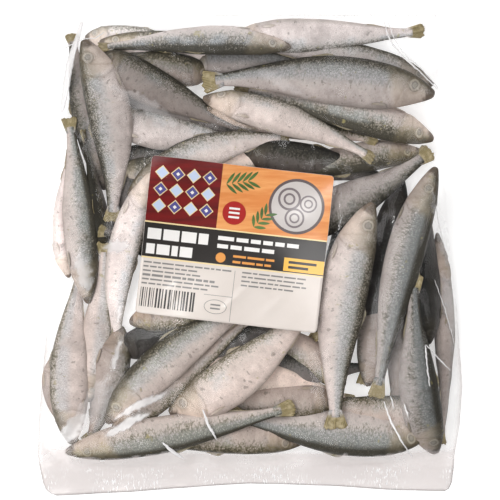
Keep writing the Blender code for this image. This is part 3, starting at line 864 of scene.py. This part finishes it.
def ink(name, colour, second=None, grain=0):
    """Printed ink with the faint mottling of coated paper."""
    g = Graph(name)
    mottle = g.noise(g.place(), 300, 4, 0.7)
    paler = tuple(min(1, part * 1.5 + 0.02) for part in colour)
    mixed = g.mix(g.times(mottle, 0.18), colour, second or paler)
    if grain:
        planks = g.noise(g.stretch(g.place(), 18, 150, grain), 1, 5, 0.6)
        mixed = g.mix(g.span(planks, 0.4, 0.66), mixed, second)
    shape = g.bumps((mottle, 0.03, 0.4))
    return g.finish(base_color=mixed, roughness=0.3, normal=shape, coat_weight=0.3, coat_roughness=0.15)


def stand(name, data):
    """An object in the scene."""
    made = bpy.data.objects.new(name, data)
    bpy.context.scene.collection.objects.link(made)
    return made


def add(name, points, faces, material, **attributes):
    """A piece from points in millimetres, and what each point is for its colours."""
    mesh = bpy.data.meshes.new(name)
    mesh.from_pydata((points * MM).tolist(), [], faces)
    for key, values in attributes.items():
        layer = mesh.attributes.new(key, "FLOAT_VECTOR", "POINT")
        layer.data.foreach_set("vector", values.astype(np.float32).ravel())
    mesh.materials.append(material)
    mesh.shade_smooth()
    mesh.update()
    return stand(name, mesh)


LENGTH_STEPS = 60
OFF_FILM = 0.1  # how far every herring stays above the back film
ABOVE_ALL, BELOW_ALL = 200, -50  # where rays start


def make_herring(lines, material):
    """The herring as pieces, and all of them as one body."""
    made, bodies = [], []
    lines = lines + [resting(herring) + DEEPER_RISE for herring in DEEPER]
    for number, (herring, line) in enumerate(zip(HERRINGS + DEEPER, lines)):
        rng = np.random.default_rng(100 + number)
        around = np.pad(line, LINE_BEND, mode="reflect", reflect_type="odd")
        line = np.convolve(around, np.ones(2 * LINE_BEND + 1) / (2 * LINE_BEND + 1), "valid")
        line = line + TAIL_LIFTS.get(herring.name, 0) * smooth(np.linspace(-1.2, 1, STATIONS))
        plan, _ = spine(herring, np.linspace(0, 1, LENGTH_STEPS))
        length = np.linalg.norm(np.diff(plan, axis=0), axis=1).sum()
        body = body_of_herring(herring, length, rng)
        (t, rise, out, zone, skin, mark), faces = joined([body, *fins(herring, length, rng)])
        points = placed(herring, line, t, rise, out)
        points[:, 2] = np.maximum(points[:, 2], FILM + OFF_FILM)
        if herring.back > 0:
            faces = [face[::-1] for face in faces]
        skin = skin + np.array([211, 97, 31]) * number
        mark = mark + np.array([0, herring.silver, 0])
        mood = np.tile((herring.dark, herring.tone, herring.warm), (len(points), 1))
        name = "herring_" + herring.name
        made.append(add(name, points, faces, material, zone=zone, skin=skin, mark=mark, mood=mood))
        bodies.append(([points], faces))
    (points,), faces = joined(bodies)
    return made, points, faces


def heights_of(points, faces):
    """Height maps of the tops and undersides of meshes, by rays down and up each cell."""
    tree = BVHTree.FromPolygons(points.tolist(), faces)
    top, underside = np.full(X.shape, -np.inf), np.full(X.shape, np.inf)
    for (j, i), x in np.ndenumerate(X):
        y = Y[j, i]
        hit = tree.ray_cast(Vector((x, y, ABOVE_ALL)), Vector((0, 0, -1)))[0]
        if hit is not None:
            top[j, i] = hit.z
            underside[j, i] = tree.ray_cast(Vector((x, y, BELOW_ALL)), Vector((0, 0, 1)))[0].z
    return top, underside


# Folded strips of film whose milky white is partly painted highlight: in plan, with their width and how milky
# they are
FOLDS = (
    (((-109.5, 152), (-112, 139), (-116, 126), (-120, 106), (-122.5, 93)), 5, 0.8),
    (((-122, 134), (-110, 138), (-99.5, 140), (-94.5, 144.5)), 0.9, 0.9),
    (((87.5, 152.5), (90.5, 141), (95.5, 133.5), (110.5, 118.5), (121.5, 107.5)), 1.1, 0.9),
    (((90, 152.5), (93.5, 142), (98, 134), (112.5, 119.5), (122.5, 108)), 0.8, 0.9),
    (((-30.5, -99.5), (-27, -109), (-21.5, -119.5)), 1.8, 1),
    (((-56.5, -121), (-49, -128), (-42.5, -133)), 2.2, 1),
    (((86.5, -94.5), (91, -107), (98, -120), (105.5, -131.5)), 1.2, 1),
    (((91, -91), (93, -99.5)), 0.9, 0.8),
    (((99.5, -96), (102.5, -105.5)), 1.2, 0.9),
    (((112.5, -57.5), (113.5, -70), (115.5, -84.5)), 1, 0.9),
    (((113, -57.5), (122, -67), (130, -75)), 0.9, 0.9),
    (((119, -16), (127, -38), (133, -58.5)), 0.8, 0.6),
    (((119, 32.5), (122.5, 18), (127, 3)), 0.8, 0.5),
)
FOLD_STEP = 1.1
FOLD_SIDES = (0.8, 0.55)  # the heights of a strip's upper and lower side above the film
FOLD_RIDGE = 0.25

# Painted glare, milky patches where flat creases of the film would mirror a light: middle, half length,
# half width, heading and how bright
PAINTED_GLARES = (
    (-70.9, -96.9, 21, 3.2, 0.46, 0.75),
    (-80, -109.5, 19, 3.6, 0.5, 0.75),
    (-115.3, -112.8, 17, 6.5, 0.8, 0.65),
    (-86.5, -64, 14, 2.2, 1.35, 0.6),
    (-134, -124, 5, 8, 0.25, 0.7),
    (-85, -38, 8, 1.8, 1.45, 0.6),
    (124, 17, 26, 6, -1.35, 0.3),
    (130, -32, 26, 6, -1.4, 0.34),
    (-104, -98, 26, 8, 1.1, 0.3),
    (-108, -11, 17, 6.5, 1.8, 0.42),
    (-86, 6, 10, 5, 0.1, 0.5),
    (20, 112, 24, 5, -0.5, 0.16),
    (-66, 96, 30, 7, -0.55, 0.2),
)
CRINKLE_SCALE = 0.045
CRINKLE_HEIGHT = 1.3
FILM_GAP = 0.25  # between front and back, where nothing lies between them


def crinkled(x, y, seed):
    """Sharp-ridged creases, from 0 to about 1."""
    places = zip(np.ravel(x) * CRINKLE_SCALE, np.ravel(y) * CRINKLE_SCALE)
    values = [noise.ridged_multi_fractal((a, b, seed), 1, 2.1, 3, 0.9, 1.6) for a, b in places]
    return np.reshape(values, np.shape(x)) / 1.6


def veil(x, y, share, band, rim, free, loose):
    """How milky and how grey the film is: by the bag's sides and foot, its grey there partly painted
    shade, and with painted glare where a crease would mirror a light.
    """
    outer = (1 - smooth(rim * 1.6)) * (1 - band)
    low = smooth((-y - 30) / 40)
    by_foot = smooth(1.9 + share * 3) * (y < 0) * smooth((free - 0.5) / 2.2)
    haze_and_glare = 0.02 * loose + (0.1 + 0.35 * low) * outer * (1 - by_foot) + 0.55 * by_foot * (1 - band)
    torn = crinkled(x * 4, y * 4, 9) - 0.5
    # painted glare: milky patches where a crease would mirror a light
    for centre_x, centre_y, half_length, half_width, heading, bright in PAINTED_GLARES:
        along, across = turned(x - centre_x, y - centre_y, -heading)
        bowed = (along / half_length) ** 2
        inside = 1 - bowed - np.abs(across / half_width + 0.3 * bowed) + 0.7 * torn
        haze_and_glare = np.maximum(haze_and_glare, bright * smooth(inside * 2.5))
    # how grey: partly the film's own tint, partly painted shade by the lower sides and foot
    return haze_and_glare, np.maximum(low * outer, by_foot)


def make_film(front, back, top, material):
    """The film's front and back, joined all round the bag's outline."""
    columns, rows = round(BAG_WIDTH / CELL), round(BAG_LENGTH / CELL)
    v, u = grid(rows, columns, 0)
    level = -BAG_LENGTH / 2 + v * BAG_LENGTH
    x = left_side(level) + u * (right_side(level) - left_side(level))
    y = foot_side(x) + v * (BAG_LENGTH / 2 - foot_side(x))
    share = read(band_share(), x, y)
    band = smooth(share * 4) * np.where(y < 0, 1, 0.3)
    rim = np.minimum(np.minimum(x - left_side(y), right_side(y) - x), 12) / 12
    free = read(front - top, x, y)
    loose = smooth((free - 0.6) / 5) * ~on_label(x, y, 4) * smooth(rim)
    lower = read(back, x, y)
    upper = read(front, x, y) + crinkled(x, y, 3) * CRINKLE_HEIGHT * loose * (1 - band)
    upper = np.maximum(upper, lower + FILM_GAP)
    inner = np.zeros((rows, columns), bool)
    inner[1:-1, 1:-1] = True
    upper, lower = np.where(inner, (upper, lower), (upper + lower) / 2)

    haze_and_glare, grey = veil(x, y, share, band, rim, free, loose)
    edge = smooth(1.6 - 8 * np.minimum(rim, (1 - share) * 1.8)) * 0.6
    under = inner.ravel()
    points = np.concatenate([triples(x, y, upper), triples(x, y, lower)[under]])
    film = [triples(haze_and_glare + edge * band * 0.35, band, grey), triples(haze_and_glare * 0.1, band * 0.3, grey)[under]]
    faces = sheet_faces(rows, columns)
    number = np.arange(rows * columns)
    number[under] = rows * columns + np.arange(under.sum())
    every = np.concatenate([faces, number[faces][:, ::-1]]).tolist()
    return add("film", points, every, material, film=np.concatenate(film))


def make_folds(front, material):
    """Frayed strips of folded film, flat on the bag, their milky white partly painted highlight."""
    rng = np.random.default_rng(11)
    bodies = []
    for path, width, milky_and_glare in FOLDS:
        path = np.array(path)
        steps = np.concatenate([[0], np.cumsum(np.linalg.norm(np.diff(path, axis=0), axis=1))])
        count = max(6, int(steps[-1] / FOLD_STEP))
        at = np.linspace(0, steps[-1], count)
        line = np.stack([eased(at, steps, path[:, 0]), eased(at, steps, path[:, 1])], axis=1)
        ahead = np.gradient(line, axis=0)
        ahead /= np.linalg.norm(ahead, axis=1)[:, None]
        side = np.stack([-ahead[:, 1], ahead[:, 0]], axis=1)
        frayed, torn = (0.45, 0.6) if width < 3 else (0.2, 0.15)
        line += side * ragged(rng, count, frayed)[:, None]
        taper = 0.25 + 0.75 * np.sin(np.linspace(0, math.pi, count)) ** 0.5
        taper *= 1 + ragged(rng, count, torn)
        points = []
        for lift in FOLD_SIDES:
            for across, raised in ((-0.5, 0), (0, FOLD_RIDGE), (0.5, 0)):
                x, y = (line + side * (across * width * taper)[:, None]).T
                points.append(triples(x, y, read(front, x, y) + lift + raised))
        film = np.tile((milky_and_glare, 0, 0), (len(points) * count, 1))
        bodies.append(([np.concatenate(points), film], slab_faces(3, count)))
    (points, film), faces = joined(bodies)
    return add("film_folds", points, faces, material, film=film)


LABEL_MESH_CELL = 1.7
PRINT_LAYER = 0.035
PRINT_CELL = 2.4
LOZENGE_CELL = 0.8
OVAL_POINTS = 48

# The label's creases: both ends, how high and how wide
CREASES = (
    ((-9, -51), (20, -16), 1.1, 2),
    ((16, -51), (42, -24), 0.7, 3),
    ((-42, -51), (-30, -20), 0.4, 3),
    ((20, 51), (34, 10), 0.3, 4),
)


def cornered(across, along):
    """Points of the label's rectangle pulled in to its rounded corners."""
    limit_x, limit_y = LABEL_SIZE[0] / 2 - LABEL_CORNER, LABEL_SIZE[1] / 2 - LABEL_CORNER
    centre_x, centre_y = np.clip(across, -limit_x, limit_x), np.clip(along, -limit_y, limit_y)
    beyond = np.maximum(np.hypot(across - centre_x, along - centre_y), 1e-9)
    pull = np.minimum(1, LABEL_CORNER / beyond)
    return centre_x + (across - centre_x) * pull, centre_y + (along - centre_y) * pull


def on_paper(label, across, along, layer=0):
    """Points on the creased label, and so many layers of print above it."""
    across, along = cornered(across, along)
    x, y = turned(across, along, LABEL_TURN)
    x, y = x + LABEL_CENTRE[0], y + LABEL_CENTRE[1]
    level = read(label, x, y) + LABEL_PAPER + layer * PRINT_LAYER
    for (x0, y0), (x1, y1), height, width in CREASES:
        run = math.hypot(x1 - x0, y1 - y0)
        forward = ((across - x0) * (x1 - x0) + (along - y0) * (y1 - y0)) / run
        aside = ((across - x0) * (y1 - y0) - (along - y0) * (x1 - x0)) / run
        level = level + height * bell(aside, 0, width) * smooth(1 - np.abs(forward - run / 2) / (run / 2))
    return triples(x, y, level)


def make_label(label, material):
    columns, rows = (round(size / LABEL_MESH_CELL) for size in LABEL_SIZE)
    along, across = grid(rows, columns, 0)
    upper = on_paper(label, (across - 0.5) * LABEL_SIZE[0], (along - 0.5) * LABEL_SIZE[1])
    both = np.concatenate([upper, upper - (0, 0, LABEL_SHEET)])
    return add("label_sheet", both, slab_faces(rows, columns), material)


def straight(corners, cell):
    """A closed outline of straight sides, with points at most a cell apart."""
    outline = []
    for (ax, ay), (bx, by) in zip(corners, corners[1:] + corners[:1]):
        steps = max(1, math.ceil(math.hypot(bx - ax, by - ay) / cell))
        outline += [(ax + (bx - ax) * k / steps, ay + (by - ay) * k / steps) for k in range(steps)]
    return outline


def box(x0, y0, x1, y1):
    return straight(((x0, y0), (x1, y0), (x1, y1), (x0, y1)), PRINT_CELL)


def lozenge(x, y, reach):
    return straight(((x - reach, y), (x, y - reach), (x + reach, y), (x, y + reach)), LOZENGE_CELL)


def oval(x, y, half_length, half_width, turn=0, pointed=1):
    angle = np.linspace(0, 2 * math.pi, OVAL_POINTS, endpoint=False)
    across = half_width * np.sign(np.sin(angle)) * np.abs(np.sin(angle)) ** pointed
    return np.stack(turned(half_length * np.cos(angle), across, turn), axis=1) + (x, y)


def disc(x, y, radius):
    return oval(x, y, radius, radius)


def bars(rng, x0, x1, y, tall, shortest, longest, gap=0.9):
    """A row of bars as long as words."""
    row, x = [], x0
    while x < x1 - shortest:
        end = min(x + rng.uniform(shortest, longest), x1)
        row.append(box(x, y - tall / 2, end, y + tall / 2))
        x = end + gap
    return row


def lattice(reach, odd=None):
    """Lozenges in rows and columns: all of them, or every second one."""
    places = [(i, j) for j in range(3) for i in range(4) if odd is None or (i + j) % 2 == odd]
    (x, y), (step_x, step_y) = LATTICE_AT, LATTICE_STEP
    return [lozenge(x + step_x * i, y + step_y * j, reach) for i, j in places]


def sprig(x, y, heading, pairs, reach):
    """Pointed leaves in pairs along a stem."""
    leaves = []
    for k in range(pairs):
        for turn in (heading + 0.8 - 0.05 * k, heading - 0.9 + 0.07 * k):
            leaves.append(oval(x + reach * math.cos(turn), y + reach * math.sin(turn), reach, 1, turn, 1.7))
        x, y = x + LEAF_STEP * math.cos(heading), y + LEAF_STEP * math.sin(heading)
    return leaves


def filled(outline):
    """A flat field: its outline, filled with rings towards its middle."""
    edge = np.array(outline)
    middle = edge.mean(axis=0)
    rings = max(2, math.ceil(np.linalg.norm(edge - middle, axis=1).max() / PRINT_CELL))
    inwards = np.arange(1, rings + 1)[:, None, None] / rings
    points = np.concatenate([(middle + (edge - middle) * inwards).reshape(-1, 2), [middle]])
    fan = [(len(points) - 1, a, b) for a, b in ring(len(edge))]
    return [points], fan + [face[::-1] for face in tube_faces(rings, len(edge))]


# Printed colours, with a second one and the turn of a grain where they have them
INKS = {
    "white": ((0.8, 0.77, 0.74),),
    "cream": ((0.8, 0.62, 0.33),),
    "black": ((0.018, 0.014, 0.012),),
    "grey": ((0.22, 0.21, 0.2),),
    "red": ((0.19, 0.006, 0.006), (0.09, 0.004, 0.004), 1.45),
    "wood": ((0.66, 0.22, 0.055), (0.8, 0.37, 0.13), 0.35),
    "pale_blue": ((0.5, 0.58, 0.76),),
    "violet": ((0.085, 0.075, 0.25),),
    "dish_rim": ((0.1, 0.075, 0.075),),
    "dish": ((0.5, 0.46, 0.44),),
    "slice": ((0.15, 0.12, 0.125),),
    "leaf": ((0.045, 0.1, 0.025), (0.1, 0.2, 0.05), 0.9),
    "seal": ((0.36, 0.012, 0.01),),
    "orange": ((0.72, 0.3, 0.07),),
    "amber": ((0.86, 0.46, 0.07),),
    "paper": ((0.68, 0.61, 0.56),),
}
SIDE, HEAD = LABEL_SIZE[0] / 2 - 0.15, LABEL_SIZE[1] / 2 - 0.15  # how far the print goes
FIELDS_LEFT, FIELDS_FOOT = -13, 8.5  # where the two coloured fields meet, and their lower edge
DISH = (37, 28.6)
SLICES = ((32, 33, 7.4), (44.5, 31, 5.6), (36.5, 21, 6.4))
LATTICE_AT, LATTICE_STEP = (-51.2, 19.4), (10.2, 10.6)
LEAF_STEP = 3.5
LINES_TOP, LINE_STEP = -17.6, 2.75  # of the small bars
STAMP = (-7.8, -41.5)


def picture():
    """Coloured fields with a lattice of lozenges, a dish of slices, leaves and a disc."""
    yield "red_field", 1, "red", [box(-SIDE, FIELDS_FOOT, FIELDS_LEFT, HEAD)]
    yield "orange_field", 1, "wood", [box(FIELDS_LEFT, FIELDS_FOOT, SIDE, HEAD)]
    yield "black_band", 1, "black", [box(-SIDE, -14, SIDE, 8)]
    yield "cream_lines", 2, "cream", [box(-SIDE, y, SIDE, y + 0.9) for y in (8, -15)]
    yield "lozenges_cream", 2, "cream", lattice(4.7)
    yield "lozenges_pale", 3, "pale_blue", lattice(3.9, 0)
    yield "lozenges_violet", 4, "violet", lattice(3.9, 1)
    yield "lozenges_white", 5, "white", lattice(1.3, 1)
    yield "dish_rim", 2, "dish_rim", [disc(*DISH, 18)]
    yield "dish", 3, "dish", [disc(*DISH, 16.2)]
    for layer, part, colour, share in (
        (4, "slices", "slice", 1),
        (5, "slices_pale", "dish", 0.8),
        (6, "slices_middle", "slice", 0.52),
        (7, "slices_inside", "dish", 0.34),
    ):
        yield part, layer, colour, [disc(x, y, radius * share) for x, y, radius in SLICES]
    yield "leaves", 5, "leaf", sprig(-9.5, 38, 0.25, 5, 4.6) + sprig(11, 12.5, 0.9, 4, 4)
    yield "disc", 6, "seal", [disc(-2.5, 20, 7.6)]
    yield "disc_bars", 7, "white", [box(-6, y, 1, y + 1.3) for y in (16.6, 19.4, 22.2)]


def titles(rng):
    """Bars in place of words on the black band."""
    title = bars(rng, -56.5, -17, 1, 7, 5, 11, 1.4)
    yield "title", 2, "white", title + bars(rng, -56.5, -24, -8.8, 6.6, 4, 9, 1.3)
    subtitle = bars(rng, -11, 46, 3, 2.6, 4, 12, 1.6)
    yield "subtitle", 2, "white", subtitle + bars(rng, -11, 26, -2.2, 2.6, 4, 10, 1.6)
    small = bars(rng, 0, 31, -7.8, 1.5, 4, 11, 1) + bars(rng, 0, 28, -11.4, 1.5, 4, 11, 1)
    yield "band_small", 2, "orange", [disc(-8, -9.6, 3.2), *small]
    yield "tag", 2, "amber", [box(33, -13.4, SIDE, -4.8)]
    yield "tag_bars", 3, "black", [box(36, y, x, y + 1.7) for x, y in ((54, -8.4), (49, -11.6))]


def small_print(rng):
    """Rows of small bars, stripes and a stamp on the bare paper."""
    lines = []
    for left, reaches in ((-57, (57, 35, 39, 47, 50, 43)), (7, (44, 40, 42, 34))):
        for row, reach in enumerate(reaches):
            tall = 1 if left > 0 else 1.5 if row == 3 else 1.05
            lines += bars(rng, left, left + reach, LINES_TOP - row * LINE_STEP, tall, 2.2, 8)
    yield "small_bars", 2, "grey", lines
    yield "hairlines", 2, "grey", [box(2.2, -50, 2.5, -17), box(-16, -34.4, 2.2, -34.1)]
    stripes, x = [], -57
    while x < -21.5:
        wide = rng.choice((0.35, 0.5, 0.8, 1.2))
        stripes.append(box(x, -46.5, x + wide, -34))
        x += wide + rng.choice((0.5, 0.8, 1.2))
    yield "stripes", 2, "black", stripes
    yield "stamp", 2, "grey", [oval(*STAMP, 7.3, 4.6)]
    yield "stamp_inside", 6, "paper", [oval(*STAMP, 6.95, 4.25)]
    yield "stamp_bars", 8, "grey", [box(-11, y, -4.6, y + 1) for y in (-40.8, -43.2)]


def make_prints(label):
    rng = np.random.default_rng(7)
    inks = {name: ink("ink_" + name, *colours) for name, colours in INKS.items()}
    for name, layer, colour, outlines in (*picture(), *titles(rng), *small_print(rng)):
        (flat,), faces = joined([filled(outline) for outline in outlines])
        yield add("print_" + name, on_paper(label, *flat.T, layer), faces, inks[colour])


FLOOR_SIZE = 6000
FLOOR_POINTS = 25
FLOOR_GAP = 0.4  # under the part


def make_floor():
    g = Graph("studio_floor")
    colour = g.mix(g.noise(g.place(), 40), (0.62, 0.62, 0.62), (0.66, 0.66, 0.66))
    glow = {"emission_color": (1, 0.99, 0.985), "emission_strength": 0.55}
    material = g.finish(base_color=colour, roughness=0.8, specular_ior_level=0.1, **glow)
    v, u = grid(FLOOR_POINTS, FLOOR_POINTS, 0)
    points = triples((u - 0.5) * FLOOR_SIZE, (v - 0.5) * FLOOR_SIZE, -FLOOR_GAP)
    add("floor", points, sheet_faces(FLOOR_POINTS, FLOOR_POINTS).tolist(), material)


# The camera, in metres
CAMERA_HEIGHT = 1.5
PICTURE_WIDTH = 0.325  # how much the square picture shows, level with the middle of the pack
PICTURE_MIDDLE = (0, 0.00325)
PACK_LEVEL = 0.012
SENSOR = 36  # in millimetres
SKY_LIGHT = 0.2

# Each light's place and size in metres, and its watts
LIGHTS = {
    "key": ((-1.1, -0.5, 1.4), (1.7, 1.5), 28),
    "right": ((1.2, 0.3, 1.4), (1.5, 1.3), 12),
    "head": ((-0.2, 1.3, 1.4), (1.7, 1.2), 11),
    "spark": ((-0.55, 0.75, 1.5), (0.22, 0.22), 3),
}


def make_camera():
    camera = bpy.data.cameras.new("camera")
    camera.sensor_width = SENSOR
    camera.lens = SENSOR * (CAMERA_HEIGHT - PACK_LEVEL) / PICTURE_WIDTH
    camera.clip_start, camera.clip_end = 0.05, 20
    holder = stand("camera", camera)
    holder.location = (*PICTURE_MIDDLE, CAMERA_HEIGHT)
    bpy.context.scene.camera = holder


def make_lights():
    world = bpy.data.worlds.new("studio")
    bpy.context.scene.world = world
    world.use_nodes = True
    sky = world.node_tree.nodes["Background"]
    sky.inputs["Color"].default_value = (1, 1, 1, 1)
    sky.inputs["Strength"].default_value = SKY_LIGHT
    for name, (place, size, watts) in LIGHTS.items():
        lamp = bpy.data.lights.new(name, "AREA")
        lamp.shape = "RECTANGLE"
        lamp.size, lamp.size_y = size
        lamp.energy = watts
        holder = stand(name, lamp)
        holder.location = place
        holder.rotation_mode = "QUATERNION"
        holder.rotation_quaternion = (-Vector(place)).to_track_quat("-Z", "Y")
    bpy.context.scene.view_settings.view_transform = "Standard"


def put_on(node, pieces):
    """Pieces that take a node's place in the part."""
    for piece in pieces:
        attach(piece, "root")
        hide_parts(node)


def build():
    top, underside, lines = packed()
    herring, points, faces = make_herring(lines, herring_material())
    seen_top, seen_underside = heights_of(points, faces)
    top, underside = np.maximum(top, seen_top), np.minimum(underside, seen_underside)
    front, back, label = films(top, underside)
    clear = film_material()
    put_on("bag", [make_film(front, back, top, clear), make_folds(front, clear), *herring])
    put_on("label", [make_label(label, paper_material()), *make_prints(label)])
    make_floor()
    make_camera()
    make_lights()


build()
